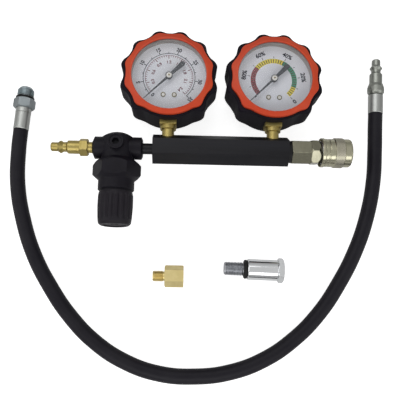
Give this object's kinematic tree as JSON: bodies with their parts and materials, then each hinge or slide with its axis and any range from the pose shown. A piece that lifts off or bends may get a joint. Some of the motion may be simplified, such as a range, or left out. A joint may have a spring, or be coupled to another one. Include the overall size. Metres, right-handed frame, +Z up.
{
  "type": "cylinder leakage tester",
  "caption": "Two-gauge cylinder leakage tester with regulator, quick coupler, test hose and loose spark plug hole adapters, lying on its back.",
  "frame": {"origin": "on the table under the middle of the tester and its loose adapters, without the hose", "axes": "+X along the manifold towards the outlet coupler, +Y from the manifold towards the gauges, +Z up from the table towards the dials' faces"},
  "size_m": [0.3282, 0.2919, 0.0424],
  "materials": {
    "black_anodised": "black anodised, satin",
    "orange_plastic": "smooth moulded, slightly glossy",
    "boot_rubber": "moulded, dull",
    "case_steel": "pressed and plated",
    "lens_plastic": "clear and polished",
    "dial_white": "printed white",
    "pointer_black": "matt black",
    "brass": "machined and lightly worn",
    "spring_steel": "drawn",
    "nickel_plate": "nickel plated, warm grey",
    "zinc_plate": "zinc plated",
    "chrome_plate": "polished",
    "black_plastic": "fine moulded texture",
    "hose_rubber": "smooth extruded",
    "seal_rubber": "moulded"
  },
  "bodies": {
    "tester": {"manifold": "black_anodised", "orifice": "brass", "nipple": "black_anodised", "inlet_plug": "brass", "left_boot": "boot_rubber", "left_ring": "orange_plastic", "left_case": "case_steel", "left_lens": "lens_plastic", "left_dial": "dial_white", "left_movement": "brass", "left_pressure_tube": "brass", "left_stem": "brass", "right_boot": "boot_rubber", "right_ring": "orange_plastic", "right_case": "case_steel", "right_lens": "lens_plastic", "right_dial": "dial_white", "right_movement": "brass", "right_pressure_tube": "brass", "right_stem": "brass", "dial_screws": "chrome_plate", "hairsprings": "brass", "regulator_body": "black_anodised", "regulator_port_plugs": "black_anodised", "regulator_bonnet": "black_anodised", "regulating_spring": "spring_steel", "diaphragm": "seal_rubber", "valve_seat": "brass", "valve_spring": "spring_steel", "coupler_washer": "seal_rubber", "coupler_adapter": "nickel_plate", "coupler_barrel": "nickel_plate", "sleeve_spring": "spring_steel", "snap_ring": "spring_steel", "locking_balls": "chrome_plate", "coupler_valve_spring": "spring_steel", "coupler_seal": "seal_rubber"},
    "left_pointer_set": {"left_pointer": "pointer_black", "left_pinion": "spring_steel"},
    "right_pointer_set": {"right_pointer": "pointer_black", "right_pinion": "spring_steel"},
    "left_sector_set": {"left_sector": "brass"},
    "right_sector_set": {"right_sector": "brass"},
    "left_link_bar": {"left_link": "spring_steel"},
    "right_link_bar": {"right_link": "spring_steel"},
    "screw": {"adjusting_screw": "spring_steel"},
    "knob": {"regulator_knob": "black_plastic"},
    "nut": {"spring_nut": "brass"},
    "plate": {"diaphragm_plate": "spring_steel"},
    "poppet": {"valve_poppet": "brass"},
    "sleeve": {"coupler_sleeve": "nickel_plate"},
    "outlet_valve": {"coupler_valve": "brass"},
    "hose_set": {"hose": "hose_rubber", "hose_ferrules": "zinc_plate", "hose_plug": "zinc_plate", "spark_plug_fitting": "zinc_plate", "spark_fitting_o_ring": "seal_rubber"},
    "loose_brass_adapter": {"brass_adapter": "brass"},
    "loose_steel_adapter": {"steel_adapter": "chrome_plate", "steel_adapter_o_ring": "seal_rubber"}
  },
  "joints": [
    {"name": "left_sector_turn", "type": "hinge", "parent": "tester", "child": "left_sector_set", "pos_m": [-0.0291, 0.0532, 0.022], "axis": [0, 0, 1], "range_deg": [0, 27], "stiffness_Nm_per_rad": 0.002, "springref_deg": -2.86},
    {"name": "left_pointer_turn", "type": "hinge", "parent": "tester", "child": "left_pointer_set", "pos_m": [-0.0291, 0.06695, 0.022], "axis": [0, 0, -1], "range_deg": [0, 270]},
    {"name": "left_link_turn", "type": "hinge", "parent": "left_sector_set", "child": "left_link_bar", "pos_m": [-0.02252, 0.05081, 0.0207], "axis": [0, 0, 1], "range_deg": [-36.5, 0]},
    {"name": "right_sector_turn", "type": "hinge", "parent": "tester", "child": "right_sector_set", "pos_m": [0.06, 0.0532, 0.022], "axis": [0, 0, 1], "range_deg": [0, 27], "stiffness_Nm_per_rad": 0.002, "springref_deg": -2.86},
    {"name": "right_pointer_turn", "type": "hinge", "parent": "tester", "child": "right_pointer_set", "pos_m": [0.06, 0.06695, 0.022], "axis": [0, 0, -1], "range_deg": [0, 270]},
    {"name": "right_link_turn", "type": "hinge", "parent": "right_sector_set", "child": "right_link_bar", "pos_m": [0.06658, 0.05081, 0.0207], "axis": [0, 0, 1], "range_deg": [-36.5, 0]},
    {"name": "adjusting_screw_turn", "type": "hinge", "parent": "tester", "child": "screw", "pos_m": [-0.07085, -0.03355, 0.0212], "axis": [0, 1, 0], "range_deg": [0, 1800]},
    {"name": "knob_pull", "type": "slide", "parent": "screw", "child": "knob", "axis": [0, -1, 0], "range_m": [0, 0.003]},
    {"name": "spring_nut_slide", "type": "slide", "parent": "tester", "child": "nut", "axis": [0, 1, 0], "range_m": [0, 0.00625], "deforming": ["regulating_spring"]},
    {"name": "diaphragm_lift", "type": "slide", "parent": "tester", "child": "plate", "axis": [0, 1, 0], "range_m": [0, 0.0008], "stiffness_N_per_m": 800, "springref_m": -0.003, "deforming": ["diaphragm"]},
    {"name": "inlet_valve_lift", "type": "slide", "parent": "tester", "child": "poppet", "axis": [0, 1, 0], "range_m": [0, 0.0008], "deforming": ["valve_spring"]},
    {"name": "coupler_sleeve_slide", "type": "slide", "parent": "tester", "child": "sleeve", "axis": [-1, 0, 0], "range_m": [0, 0.0026], "stiffness_N_per_m": 1500, "springref_m": -0.006, "deforming": ["sleeve_spring"]},
    {"name": "outlet_valve_slide", "type": "slide", "parent": "tester", "child": "outlet_valve", "axis": [-1, 0, 0], "range_m": [0, 0.003], "stiffness_N_per_m": 400, "springref_m": -0.005, "deforming": ["coupler_valve_spring"]},
    {"name": "hose_lift", "type": "slide", "parent": "tester", "child": "hose_set", "axis": [0, 0, 1], "range_m": [0, 0.05]},
    {"name": "brass_adapter_lift", "type": "slide", "parent": "tester", "child": "loose_brass_adapter", "axis": [0, 0, 1], "range_m": [0, 0.05]},
    {"name": "steel_adapter_lift", "type": "slide", "parent": "tester", "child": "loose_steel_adapter", "axis": [0, 0, 1], "range_m": [0, 0.05]}
  ],
  "couplings": [
    {"joint": "left_pointer_turn", "follows": "left_sector_turn", "ratio": 10},
    {"joint": "left_link_turn", "follows": "left_sector_turn", "ratio": -1.328},
    {"joint": "right_pointer_turn", "follows": "right_sector_turn", "ratio": 10},
    {"joint": "right_link_turn", "follows": "right_sector_turn", "ratio": -1.328},
    {"joint": "spring_nut_slide", "follows": "adjusting_screw_turn", "m_per_rad": 0.00019894},
    {"joint": "inlet_valve_lift", "follows": "diaphragm_lift", "ratio": 1}
  ]
}
